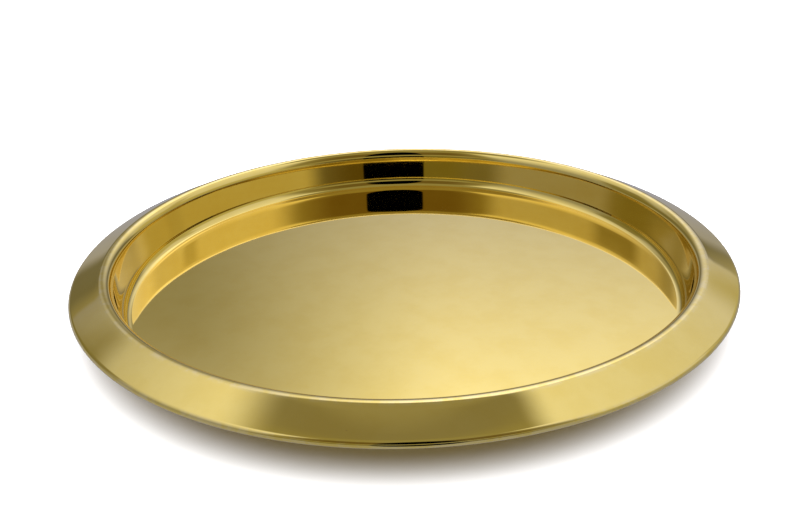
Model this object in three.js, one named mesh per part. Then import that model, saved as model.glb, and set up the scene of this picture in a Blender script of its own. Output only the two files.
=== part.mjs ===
// A round, shallow metal plate made from one disc of sheet: a flat floor, a steep wall, a rounded crest
// and a wide brim that slopes outwards and down, with its edge rolled round a wire.
// Millimetres, +Z up. The origin is the centre of the underside of the floor, on the plate's own axis.
import * as THREE from 'three';

// Driving dimensions.
const outerDiameter = 317.5;
const height = 23.7; // underside of the floor to the top of the crest
const sheet = 0.6; // thickness of the metal
const crestCircle = 143.4; // distance from the axis to the top of the crest
const crestRadius = 3.8; // outer side of the crest
const shoulderRadius = 6.5; // outer side of the gentler bend between the crest and the wall
const wallDraft = 5; // degrees that the wall leans outwards
const footRadius = 7.5; // hollow side of the bend at the foot of the wall
const filletRadius = 3.5; // hollow side of the tighter bend from there into the floor
const brimSlope = 23; // degrees below level
const edgeRadius = 2.5; // outer side of the bend where the brim turns down into its rolled edge
const beadRadius = 1.4; // outside of the roll
const wireGap = 0.35; // clearance between the wire and the inside of the roll

// Headings, in degrees, where one bend gives way to the next. Heading 0 runs outwards and 90 runs up.
const shoulderHeading = 50;
const footHeading = 50;
const edgeHeading = -60;
const rollHeading = -300; // where the roll stops, short of closing on the brim

const around = 72; // flats in one turn about the axis
const bendStep = 15; // largest angle, in degrees, between two points on the floor bend and the crest
const beadStep = 30; // the same on the rolled edge
const wireSides = 8;

const radians = THREE.MathUtils.degToRad;
const half = sheet / 2;

const brass = { color: 0xc9a227, roughness: 0.12, metalness: 1 };
const steel = { color: 0x8f8f92, roughness: 0.45, metalness: 1 };

// A point of the sheet's centre line, with the heading of the line there.
function station(r, z, heading) {
  return { r, z, heading };
}

// How far a bend carries the centre line outwards and up. It bends to the left where the heading grows.
function carry(radius, from, to) {
  const side = Math.sign(to - from) * radius;
  return {
    r: side * (Math.sin(radians(to)) - Math.sin(radians(from))),
    z: side * (Math.cos(radians(from)) - Math.cos(radians(to))),
  };
}

// Carries the line on round a bend to the heading given.
function bend(line, radius, heading, largestStep) {
  const start = line.at(-1);
  const turn = heading - start.heading;
  const steps = Math.ceil(Math.abs(turn) / largestStep);
  for (let i = 1; i <= steps; i += 1) {
    const next = start.heading + (turn * i) / steps;
    const step = carry(radius, start.heading, next);
    line.push(station(start.r + step.r, start.z + step.z, next));
  }
}

// Carries the line straight on.
function straight(line, length) {
  const { r, z, heading } = line.at(-1);
  const a = radians(heading);
  line.push(station(r + length * Math.cos(a), z + length * Math.sin(a), heading));
}

// A station moved square to its heading: to the left for a positive distance, to the right for a negative one.
function offset({ r, z, heading }, distance) {
  const a = radians(heading);
  return new THREE.Vector2(r - distance * Math.sin(a), z + distance * Math.cos(a));
}

// The centre line from the axis to the end of the roll. Its three straight runs take up what the bends leave.
function centreLine() {
  const wallHeading = 90 - wallDraft;
  const well = [
    carry(filletRadius + half, 0, footHeading),
    carry(footRadius + half, footHeading, wallHeading),
    carry(shoulderRadius - half, wallHeading, shoulderHeading),
    carry(crestRadius - half, shoulderHeading, 0),
  ];
  const rim = [
    carry(crestRadius - half, 0, -brimSlope),
    carry(edgeRadius - half, -brimSlope, edgeHeading),
    carry(beadRadius - half, edgeHeading, -90),
  ];
  const total = (bends, axis) => bends.reduce((sum, step) => sum + step[axis], 0);
  const wallLength = (height - sheet - total(well, 'z')) / Math.sin(radians(wallHeading));
  const floorRadius = crestCircle - total(well, 'r') - wallLength * Math.cos(radians(wallHeading));
  const brimReach = outerDiameter / 2 - half - crestCircle - total(rim, 'r');

  const line = [station(0, half, 0)];
  straight(line, floorRadius);
  bend(line, filletRadius + half, footHeading, bendStep);
  bend(line, footRadius + half, wallHeading, bendStep);
  straight(line, wallLength);
  bend(line, shoulderRadius - half, shoulderHeading, bendStep);
  bend(line, crestRadius - half, 0, bendStep);
  bend(line, crestRadius - half, -brimSlope, bendStep);
  straight(line, brimReach / Math.cos(radians(brimSlope)));
  bend(line, edgeRadius - half, edgeHeading, beadStep);
  bend(line, beadRadius - half, -90, beadStep);
  bend(line, beadRadius - half, rollHeading, beadStep);
  return line;
}

// The centre of the roll is level with its outermost point.
function beadCentre() {
  const outermost = centreLine().find((s) => s.heading === -90);
  return { r: outerDiameter / 2 - beadRadius, z: outermost.z };
}

// A closed body of revolution from an outline of (distance from the axis, height) points.
function turned(outline) {
  const geometry = new THREE.LatheGeometry(outline, around);
  return geometry.rotateX(Math.PI / 2);
}

function piece(name, geometry, finish) {
  const mesh = new THREE.Mesh(geometry, new THREE.MeshStandardMaterial(finish));
  mesh.name = name;
  return mesh;
}

// The sheet: out along its lower face, round the roll, and back along its upper face to the axis.
function plate() {
  const line = centreLine();
  const lower = line.map((s) => offset(s, -half));
  const upper = line.map((s) => offset(s, half)).reverse();
  return piece('plate', turned([...lower, ...upper]), brass);
}

// The wire ring that the brim's edge is rolled round.
function rimWire() {
  const bead = beadCentre();
  const radius = beadRadius - sheet - wireGap;
  const outline = Array.from({ length: wireSides + 1 }, (_, i) => {
    const a = (2 * Math.PI * i) / wireSides;
    return new THREE.Vector2(bead.r + radius * Math.cos(a), bead.z + radius * Math.sin(a));
  });
  return piece('rim_wire', turned(outline), steel);
}

const offeringPlate = new THREE.Group();
offeringPlate.add(plate(), rimWire());

export default offeringPlate;
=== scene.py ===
"""Offering plate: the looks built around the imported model. Metres, +Z up, in the model's own frame."""
import math

import bpy
from mathutils import Matrix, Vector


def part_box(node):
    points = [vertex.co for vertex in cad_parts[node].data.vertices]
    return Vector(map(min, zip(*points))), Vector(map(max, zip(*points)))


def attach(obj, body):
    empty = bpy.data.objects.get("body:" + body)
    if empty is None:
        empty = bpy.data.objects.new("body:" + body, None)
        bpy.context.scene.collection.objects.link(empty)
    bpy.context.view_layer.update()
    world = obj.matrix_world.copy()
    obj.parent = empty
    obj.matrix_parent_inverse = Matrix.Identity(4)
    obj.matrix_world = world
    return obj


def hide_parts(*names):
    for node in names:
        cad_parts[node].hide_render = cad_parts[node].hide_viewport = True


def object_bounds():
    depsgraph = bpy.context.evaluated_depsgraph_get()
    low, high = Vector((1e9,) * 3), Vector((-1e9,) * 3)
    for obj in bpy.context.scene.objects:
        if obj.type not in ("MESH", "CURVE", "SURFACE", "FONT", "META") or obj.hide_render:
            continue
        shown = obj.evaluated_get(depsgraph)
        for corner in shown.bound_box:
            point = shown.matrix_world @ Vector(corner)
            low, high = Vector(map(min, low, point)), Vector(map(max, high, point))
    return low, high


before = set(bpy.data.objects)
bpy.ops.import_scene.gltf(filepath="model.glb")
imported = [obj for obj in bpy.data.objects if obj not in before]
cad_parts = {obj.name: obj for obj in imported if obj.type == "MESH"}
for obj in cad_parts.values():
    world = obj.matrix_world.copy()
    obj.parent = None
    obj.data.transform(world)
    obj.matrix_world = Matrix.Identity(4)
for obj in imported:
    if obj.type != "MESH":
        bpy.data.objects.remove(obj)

CAD_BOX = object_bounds()

# The plate's own sizes. Its outer radius and height come from the frame.
PLATE_LOW, PLATE_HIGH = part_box("plate")
OUTER_RADIUS = PLATE_HIGH.x
HEIGHT = PLATE_HIGH.z
SHEET = 0.0006
CREST_CIRCLE = 0.1434  # distance from the axis to the top of the crest
CREST_RADIUS = 0.0038
SHOULDER_RADIUS = 0.0065  # the gentler bend between the crest and the wall
FOOT_RADIUS = 0.0075  # hollow side of the bend at the foot of the wall
FILLET_RADIUS = 0.0035  # hollow side of the tighter bend from there into the floor
EDGE_RADIUS = 0.0025  # where the brim turns down into its rolled edge
BEAD_RADIUS = 0.0014
WIRE_RADIUS = 0.00045

# Headings along the sheet: 0 runs outwards and 90 degrees runs up.
WALL = math.radians(85)
BRIM = math.radians(-23)
SHOULDER = FOOT = math.radians(50)
EDGE = math.radians(-60)
ROLL_SIDE = math.radians(-90)
ROLL_END = math.radians(-300)

AROUND = 512  # faces in one turn about the axis
LONGEST_FACE = 0.003  # along the outline
WIRE_SIDES = 24
FLOOR_HALF_SIDE = 4.0
FLOOR_GAP = 0.0002  # between the plate's underside and the floor


# ----------------------------------------------------------------------------------------------------
# Shapes
# ----------------------------------------------------------------------------------------------------

def carry(radius, start, end):
    """How far a bend takes the centre line outwards and up. It bends left where the heading grows."""
    side = math.copysign(radius, end - start)
    return side * (math.sin(end) - math.sin(start)), side * (math.cos(start) - math.cos(end))


def bend(line, radius, heading, step=math.radians(3)):
    """Carries the line of stations (r, z, heading) on round a bend."""
    r, z, start = line[-1]
    count = math.ceil(abs(heading - start) / step)
    for i in range(1, count + 1):
        a = start + (heading - start) * i / count
        out, up = carry(radius, start, a)
        line.append((r + out, z + up, a))


def straight(line, length, count=1):
    """Carries the line straight on, in count equal steps."""
    r, z, heading = line[-1]
    for i in range(1, count + 1):
        part = i / count
        line.append((r + length * math.cos(heading) * part, z + length * math.sin(heading) * part, heading))


def centre_line():
    """The sheet's centre line from the axis to the end of its rolled edge, and the centre of the roll."""
    half = SHEET / 2
    well = [carry(FILLET_RADIUS + half, 0, FOOT), carry(FOOT_RADIUS + half, FOOT, WALL),
            carry(SHOULDER_RADIUS - half, WALL, SHOULDER), carry(CREST_RADIUS - half, SHOULDER, 0)]
    rim = [carry(CREST_RADIUS - half, 0, BRIM), carry(EDGE_RADIUS - half, BRIM, EDGE),
           carry(BEAD_RADIUS - half, EDGE, ROLL_SIDE)]
    wall_length = (HEIGHT - SHEET - sum(up for _, up in well)) / math.sin(WALL)
    floor_radius = CREST_CIRCLE - sum(out for out, _ in well) - wall_length * math.cos(WALL)
    brim_reach = OUTER_RADIUS - half - CREST_CIRCLE - sum(out for out, _ in rim)

    line = [(0.0, half, 0.0)]
    straight(line, floor_radius, 60)
    bend(line, FILLET_RADIUS + half, FOOT)
    bend(line, FOOT_RADIUS + half, WALL)
    straight(line, wall_length)
    bend(line, SHOULDER_RADIUS - half, SHOULDER)
    bend(line, CREST_RADIUS - half, 0)
    bend(line, CREST_RADIUS - half, BRIM)
    straight(line, brim_reach / math.cos(BRIM))
    bend(line, EDGE_RADIUS - half, EDGE)
    bend(line, BEAD_RADIUS - half, ROLL_SIDE)
    bead = (OUTER_RADIUS - BEAD_RADIUS, line[-1][1])
    bend(line, BEAD_RADIUS - half, ROLL_END, math.radians(6))
    return bead, line


def offset(station, distance):
    """A station moved square to its heading, to the left for a positive distance."""
    r, z, heading = station
    return r - distance * math.sin(heading), z + distance * math.cos(heading)


def fill_in(outline, gap):
    """The outline with points added so that no step along it is longer than gap."""
    filled = [outline[0]]
    for a, b in zip(outline, outline[1:]):
        count = max(1, math.ceil(math.dist(a, b) / gap))
        filled += [(a[0] + (b[0] - a[0]) * i / count, a[1] + (b[1] - a[1]) * i / count)
                   for i in range(1, count + 1)]
    return filled


def turned(name, outline, closed):
    """A smooth body of revolution about Z. A closed outline is a ring. An open one ends on the axis."""
    verts, faces, rings = [], [], []
    for r, z in outline:
        if r < 1e-9:
            rings.append([len(verts)] * AROUND)
            verts.append((0, 0, z))
            continue
        rings.append(list(range(len(verts), len(verts) + AROUND)))
        for i in range(AROUND):
            a = 2 * math.pi * i / AROUND
            verts.append((r * math.cos(a), r * math.sin(a), z))
    pairs = list(zip(rings, rings[1:]))
    if closed:
        pairs.append((rings[-1], rings[0]))
    for low, high in pairs:
        for i in range(AROUND):
            j = (i + 1) % AROUND
            corners = [low[i], low[j], high[j], high[i]]
            faces.append([c for k, c in enumerate(corners) if c not in corners[:k]])
    mesh = bpy.data.meshes.new(name)
    mesh.from_pydata(verts, [], faces)
    mesh.validate()
    mesh.shade_smooth()
    obj = bpy.data.objects.new(name, mesh)
    bpy.context.scene.collection.objects.link(obj)
    return obj


def make_plate(line):
    lower = fill_in([offset(s, -SHEET / 2) for s in line], LONGEST_FACE)
    upper = fill_in([offset(s, SHEET / 2) for s in line], LONGEST_FACE)
    plate = turned("plate_shell", [*lower, *reversed(upper)], closed=False)
    # The lower face of the sheet is told apart from the upper one by the order in which it was turned.
    under = plate.data.attributes.new("underside", "FLOAT", "POINT")
    count = 1 + AROUND * (len(lower) - 1)
    under.data.foreach_set("value", [1.0 if i < count else 0.0 for i in range(len(plate.data.vertices))])
    return plate


def make_wire(bead):
    turns = [2 * math.pi * i / WIRE_SIDES for i in range(WIRE_SIDES)]
    outline = [(bead[0] + WIRE_RADIUS * math.cos(a), bead[1] + WIRE_RADIUS * math.sin(a)) for a in turns]
    return turned("rim_wire_round", outline, closed=True)


# ----------------------------------------------------------------------------------------------------
# Materials
# ----------------------------------------------------------------------------------------------------

class Shading:
    """A node tree with short ways to add its nodes. A value is a number or another node's output."""

    def __init__(self, owner):
        owner.use_nodes = True
        self.nodes, self.links = owner.node_tree.nodes, owner.node_tree.links

    def feed(self, socket, value):
        if isinstance(value, bpy.types.NodeSocket):
            self.links.new(value, socket)
        else:
            socket.default_value = value

    def math(self, operation, *values):
        node = self.nodes.new("ShaderNodeMath")
        node.operation = operation
        for socket, value in zip(node.inputs, values):
            self.feed(socket, value)
        return node.outputs[0]

    def ramp(self, value, start, end, low=0.0, high=1.0, smooth=True):
        node = self.nodes.new("ShaderNodeMapRange")
        node.interpolation_type = "SMOOTHSTEP" if smooth else "LINEAR"
        for name, given in (("Value", value), ("From Min", start), ("From Max", end),
                            ("To Min", low), ("To Max", high)):
            self.feed(node.inputs[name], given)
        return node.outputs["Result"]

    def mix(self, factor, a, b):
        node = self.nodes.new("ShaderNodeMix")
        node.data_type = "RGBA"
        self.feed(node.inputs[0], factor)
        self.feed(node.inputs[6], a if isinstance(a, bpy.types.NodeSocket) else (*a, 1))
        self.feed(node.inputs[7], b if isinstance(b, bpy.types.NodeSocket) else (*b, 1))
        return node.outputs[2]


class Finish(Shading):
    """A metal whose colour, roughness and relief come from the place on the surface, in metres."""

    def __init__(self, name):
        self.material = bpy.data.materials.new(name)
        super().__init__(self.material)
        self.shader = self.nodes["Principled BSDF"]
        self.shader.inputs["Metallic"].default_value = 1
        self.place = self.nodes.new("ShaderNodeTexCoord").outputs["Object"]
        parts = self.nodes.new("ShaderNodeSeparateXYZ")
        self.links.new(self.place, parts.inputs[0])
        self.x, self.y, self.z = parts.outputs
        across = self.math("ADD", self.math("POWER", self.x, 2.0), self.math("POWER", self.y, 2.0))
        self.radius = self.math("SQRT", across)

    def vector(self, x, y, z):
        node = self.nodes.new("ShaderNodeCombineXYZ")
        for socket, value in zip(node.inputs, (x, y, z)):
            self.feed(socket, value)
        return node.outputs[0]

    def noise(self, vector, scale, detail=2.0, roughness=0.5):
        node = self.nodes.new("ShaderNodeTexNoise")
        self.feed(node.inputs["Vector"], vector)
        node.inputs["Scale"].default_value = scale
        node.inputs["Detail"].default_value = detail
        node.inputs["Roughness"].default_value = roughness
        return node.outputs[0]

    def turned_lines(self, spacing, length):
        """Fine marks that run round the axis, as a lathe or a buffing wheel leaves them."""
        height = self.math("MULTIPLY", self.z, 1 / spacing)
        out = self.math("MULTIPLY", self.radius, 1 / spacing)
        turn = self.math("ARCTAN2", self.y, self.x)
        return self.noise(self.vector(out, self.math("MULTIPLY", turn, length), height), 1.0, 3.0, 0.6)

    def hairlines(self, angle, spacing, length):
        """Sparse straight scratches in one direction, 0 to 1."""
        turn = self.nodes.new("ShaderNodeVectorRotate")
        turn.rotation_type = "Z_AXIS"
        turn.inputs["Angle"].default_value = angle
        self.links.new(self.place, turn.inputs["Vector"])
        stretch = self.nodes.new("ShaderNodeVectorMath")
        stretch.operation = "MULTIPLY"
        self.links.new(turn.outputs[0], stretch.inputs[0])
        stretch.inputs[1].default_value = (1 / spacing, 1 / length, 1 / length)
        return self.ramp(self.noise(stretch.outputs[0], 1.0, 2.0, 0.5), 0.7, 0.76)

    def relief(self, *layers):
        """Adds (height, depth in metres) layers of relief to the surface."""
        total = None
        for height, depth in layers:
            layer = self.math("MULTIPLY", height, depth)
            total = layer if total is None else self.math("ADD", total, layer)
        node = self.nodes.new("ShaderNodeBump")
        node.inputs["Strength"].default_value = 1.0
        node.inputs["Distance"].default_value = 1.0
        self.links.new(total, node.inputs["Height"])
        self.links.new(node.outputs[0], self.shader.inputs["Normal"])


def polished_brass():
    """Mirror-buffed brass under clear lacquer, duller and lathe-marked underneath."""
    m = Finish("polished_brass")
    node = m.nodes.new("ShaderNodeAttribute")
    node.attribute_name = "underside"
    under = node.outputs["Fac"]

    cloud = m.noise(m.place, 14.0, 3.0)
    patch = m.noise(m.place, 55.0, 4.0, 0.6)
    smear = m.ramp(m.noise(m.place, 24.0, 5.0, 0.65), 0.55, 0.75)
    speck = m.ramp(m.noise(m.place, 420.0, 2.0), 0.79, 0.83)
    rings = m.turned_lines(0.00035, 1.2)
    fine = m.turned_lines(0.00012, 3.0)
    scratches = m.math("MAXIMUM", m.hairlines(0.5, 0.0004, 0.03), m.hairlines(2.1, 0.0005, 0.022))
    scratches = m.math("MULTIPLY", scratches, m.ramp(m.noise(m.place, 30.0), 0.5, 0.65))

    # Along the crest and the outer edge: lacquer worn thin by handling, and a painted highlight.
    crest = m.ramp(m.z, HEIGHT - 0.0008, HEIGHT)
    rim = m.ramp(m.radius, OUTER_RADIUS - 0.0014, OUTER_RADIUS)
    patchy = m.ramp(m.noise(m.place, 130.0, 4.0, 0.7), 0.4, 0.6)
    wear_and_highlight = m.math("MULTIPLY", m.math("MAXIMUM", crest, rim), patchy)

    bright, deep, spot = (0.94, 0.73, 0.18), (0.91, 0.69, 0.15), (0.55, 0.38, 0.12)
    colour = m.mix(m.ramp(patch, 0.35, 0.7), bright, deep)
    colour = m.mix(m.math("MULTIPLY", speck, 0.6), colour, spot)
    # The paler colour here is partly wear and partly a painted highlight that whitens the shine on the
    # crest.
    colour = m.mix(m.math("MULTIPLY", wear_and_highlight, 0.5), colour, (0.96, 0.82, 0.42))
    colour = m.mix(m.math("MULTIPLY", under, 0.5), colour, (0.84, 0.62, 0.22))
    m.links.new(colour, m.shader.inputs["Base Color"])

    polish = m.math("ADD", m.math("MULTIPLY", smear, 0.03), m.math("MULTIPLY", patch, 0.025))
    polish = m.math("ADD", polish, m.math("MULTIPLY", scratches, 0.06))
    polish = m.math("ADD", polish, m.math("MULTIPLY", speck, 0.15))
    polish = m.math("ADD", polish, m.math("MULTIPLY", wear_and_highlight, 0.05))
    dull = m.math("MULTIPLY", under, m.math("ADD", 0.14, m.math("MULTIPLY", rings, 0.16)))
    m.links.new(m.math("ADD", m.math("ADD", polish, dull), 0.022), m.shader.inputs["Roughness"])

    marks = m.math("ADD", m.math("MULTIPLY", under, 1.6e-6), 5e-8)
    m.relief((cloud, 6e-5), (fine, 3e-8), (m.math("MULTIPLY", rings, marks), 1.0),
             (m.math("MULTIPLY", scratches, -1.0), 4e-7), (m.math("MULTIPLY", speck, -1.0), 2e-6))
    m.shader.inputs["Coat Weight"].default_value = 0.4
    m.shader.inputs["Coat Roughness"].default_value = 0.02
    return m.material


def wire_steel():
    """Drawn steel wire: dull, with die marks along it and a little brown staining."""
    m = Finish("wire_steel")
    drawn = m.turned_lines(0.00006, 0.6)
    stain = m.ramp(m.noise(m.place, 90.0, 4.0, 0.6), 0.5, 0.75)
    m.links.new(m.mix(stain, (0.42, 0.41, 0.4), (0.26, 0.19, 0.14)), m.shader.inputs["Base Color"])
    m.links.new(m.math("ADD", 0.36, m.math("MULTIPLY", stain, 0.25)), m.shader.inputs["Roughness"])
    m.relief((drawn, 2e-6))
    return m.material


# ----------------------------------------------------------------------------------------------------
# Camera, light and floor
# ----------------------------------------------------------------------------------------------------

def make_camera():
    data = bpy.data.cameras.new("camera")
    data.sensor_width = 36
    data.lens = 35.9
    camera = bpy.data.objects.new("camera", data)
    elevation = math.radians(23.18)
    distance = 2.52 * OUTER_RADIUS
    back, up = distance * math.cos(elevation), distance * math.sin(elevation)
    place = Matrix.Translation((0, -back, HEIGHT + up))
    turn = Matrix.Rotation(math.radians(0.23), 4, "Z")
    tilt = Matrix.Rotation(math.radians(90 - 25.36), 4, "X")
    roll = Matrix.Rotation(math.radians(-1.61), 4, "Z")
    camera.matrix_world = place @ turn @ tilt @ roll
    data.clip_start = 0.01
    bpy.context.scene.collection.objects.link(camera)
    bpy.context.scene.camera = camera


def make_floor():
    mesh = bpy.data.meshes.new("floor")
    side = FLOOR_HALF_SIDE
    corners = [(-side, -side, 0), (side, -side, 0), (side, side, 0), (-side, side, 0)]
    mesh.from_pydata(corners, [], [(0, 1, 2, 3)])
    floor = bpy.data.objects.new("floor", mesh)
    floor.location.z = CAD_BOX[0].z - FLOOR_GAP
    bpy.context.scene.collection.objects.link(floor)
    material = bpy.data.materials.new("pale_floor")
    material.use_nodes = True
    shader = material.node_tree.nodes["Principled BSDF"]
    shader.inputs["Base Color"].default_value = (0.8, 0.8, 0.8, 1)
    shader.inputs["Roughness"].default_value = 0.8
    mesh.materials.append(material)
    floor.visible_glossy = False


def make_overhead_light():
    """A broad soft light that whitens the floor and lays a faint shadow. The metal doesn't mirror it."""
    data = bpy.data.lights.new("overhead", "AREA")
    data.shape = "DISK"
    data.size = 6.0
    data.energy = 330
    lamp = bpy.data.objects.new("overhead", data)
    lamp.location = (0, 0.3, 2.2)
    lamp.visible_glossy = False
    bpy.context.scene.collection.objects.link(lamp)


class Sky(Shading):
    """The studio round the plate, as light by direction, in degrees: azimuth from straight behind it (+Y)
    towards the right (+X), and elevation above level. Each panel is laid over the ones before it."""

    def __init__(self, world):
        super().__init__(world)
        self.background = self.nodes["Background"]
        place = self.nodes.new("ShaderNodeTexCoord")
        parts = self.nodes.new("ShaderNodeSeparateXYZ")
        self.links.new(place.outputs["Generated"], parts.inputs[0])
        self.rightwards, self.backwards = parts.outputs["X"], parts.outputs["Y"]
        turn = self.math("ARCTAN2", self.rightwards, self.backwards)
        rise = self.math("ARCSINE", parts.outputs["Z"])
        self.azimuth = self.math("DEGREES", turn)
        self.elevation = self.math("DEGREES", rise)
        self.colour = None

    def inside(self, value, low, high, edge):
        up = self.ramp(value, low - edge[0] / 2, low + edge[0] / 2)
        down = self.ramp(value, high - edge[1] / 2, high + edge[1] / 2, 1.0, 0.0)
        return self.math("MULTIPLY", up, down)

    def scaled(self, colour, factor):
        node = self.nodes.new("ShaderNodeVectorMath")
        node.operation = "SCALE"
        self.feed(node.inputs[0], colour)
        self.feed(node.inputs["Scale"], factor)
        return node.outputs[0]

    def panel(self, colour, level, azimuth, elevation, edges, around=None, strength=1.0):
        """A soft-edged panel. level is one number, or two: its brightness at its foot and at its head."""
        foot, head = elevation
        if isinstance(level, tuple):
            level = self.ramp(self.elevation, foot, head, level[0], level[1], smooth=False)
        shade = self.scaled(colour, level)
        if azimuth is None:
            across = 1.0
        else:
            across = self.inside(self.azimuth if around is None else around, *azimuth, edges[:2])
        mask = self.math("MULTIPLY", across, self.inside(self.elevation, foot, head, edges[2:]))
        if strength != 1.0:
            mask = self.math("MULTIPLY", mask, strength)
        self.lay(shade, mask)

    def rounded(self, x, y, centre, reach, power):
        """A round-cornered shape: below 1 inside it, 1 on its edge."""
        terms = []
        for value, middle, half in ((x, centre[0], reach[0]), (y, centre[1], reach[1])):
            away = self.math("DIVIDE", self.math("SUBTRACT", value, middle), half)
            terms.append(self.math("POWER", self.math("ABSOLUTE", away), power))
        return self.math("ADD", *terms)

    def lay(self, shade, mask):
        if self.colour is None:
            self.colour = shade
            return
        self.colour = self.mix(mask, self.colour, shade)

    def finish(self):
        """Lights the world with the panels laid so far."""
        self.links.new(self.colour, self.background.inputs["Color"])


def make_world():
    world = bpy.data.worlds.new("studio")
    sky = Sky(world)
    cool, warm, brown = (0.98, 0.99, 1.25), (1.0, 0.94, 0.66), (1.0, 0.74, 0.16)
    # The dim room, the level band of table and wall far off, and the panel overhead.
    sky.panel(warm, 0.29, None, (-90, 90), (0, 0, 0, 0))
    sky.panel(warm, 0.17, None, (2, 16), (0, 0, 4, 6))
    sky.panel((0.97, 0.97, 1.1), 0.37, None, (-95, 5), (0, 0, 1, 5))
    sky.panel(cool, 0.8, None, (62, 90), (0, 0, 10, 0))
    # A round gap between the panel overhead and those at the back, paler in its middle.
    gap = sky.rounded(sky.rightwards, sky.backwards, (-0.02, 0.59), (0.53, 0.53), 2.0)
    overhead = sky.ramp(sky.elevation, 40.0, 50.0)
    sky.lay(sky.scaled((1.0, 0.94, 0.8), 0.24), sky.math("MULTIPLY", overhead, sky.ramp(gap, 1.12, 0.88)))
    sky.lay(sky.scaled((1.0, 0.95, 0.82), 0.3), sky.math("MULTIPLY", overhead, sky.ramp(gap, 0.82, 0.7)))
    # The left panel, dimmer towards the back.
    sky.panel(cool, (0.32, 0.98), (-134, -9), (18, 62), (14, 22, 1.5, 12))
    sky.panel(warm, 0.25, (-28, -10), (14, 32), (14, 16, 6, 12), strength=0.75)
    sky.panel(cool, 0.32, (-134, -70), (6, 20), (14, 10, 3, 4))
    # The large panel from the back round to the right.
    sky.panel(cool, (0.16, 1.46), (-6, 44), (10, 44), (24, 20, 2, 14))
    sky.panel(cool, 1.35, (-12, 40), (40, 66), (30, 14, 14, 6))
    sky.panel(cool, (0.62, 0.92), (34, 121), (11, 67), (14, 20, 1.5, 6))
    sky.panel(warm, 0.48, (39, 140), (6, 20), (12, 12, 3, 8))
    # The seams between panels.
    sky.panel(warm, 0.42, (59, 68), (8, 32), (6, 6, 4, 8), strength=0.7)
    sky.panel((1.0, 0.9, 0.38), 0.2, (-77, -48), (8, 32), (12, 12, 4, 8), strength=0.85)
    # The camera's side: a dim gap, and in it two black shapes, one over the other, beside the camera.
    facing = sky.math("WRAP", sky.math("SUBTRACT", sky.azimuth, 177.0), 180.0, -180.0)
    sky.panel((1.0, 0.76, 0.3), 0.15, (-42, 40), (13, 58), (28, 24, 3, 6), around=facing)
    sky.panel(brown, 0.1, (-30, 0), (1, 13), (26, 1, 2, 3), around=facing)
    sky.panel((1.0, 0.9, 0.3), 0.17, (0, 33), (1, 13), (1, 16, 2, 3), around=facing)
    black = sky.rounded(facing, sky.elevation, (-0.2, 20.0), (14.2, 42.0), 3.0)
    sky.lay((0.0, 0.0, 0.0), sky.ramp(black, 1.08, 0.92))
    sky.panel(warm, 0.3, (-44, 44), (15.5, 28.8), (24, 24, 1.5, 1.5), around=facing)
    sky.finish()
    bpy.context.scene.world = world


bead_centre, sheet_line = centre_line()

plate = make_plate(sheet_line)
plate.data.materials.append(polished_brass())
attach(plate, "root")
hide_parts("plate")

wire = make_wire(bead_centre)
wire.data.materials.append(wire_steel())
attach(wire, "root")
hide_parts("rim_wire")

make_camera()
make_floor()
make_overhead_light()
make_world()
bpy.context.scene.view_settings.view_transform = "Standard"
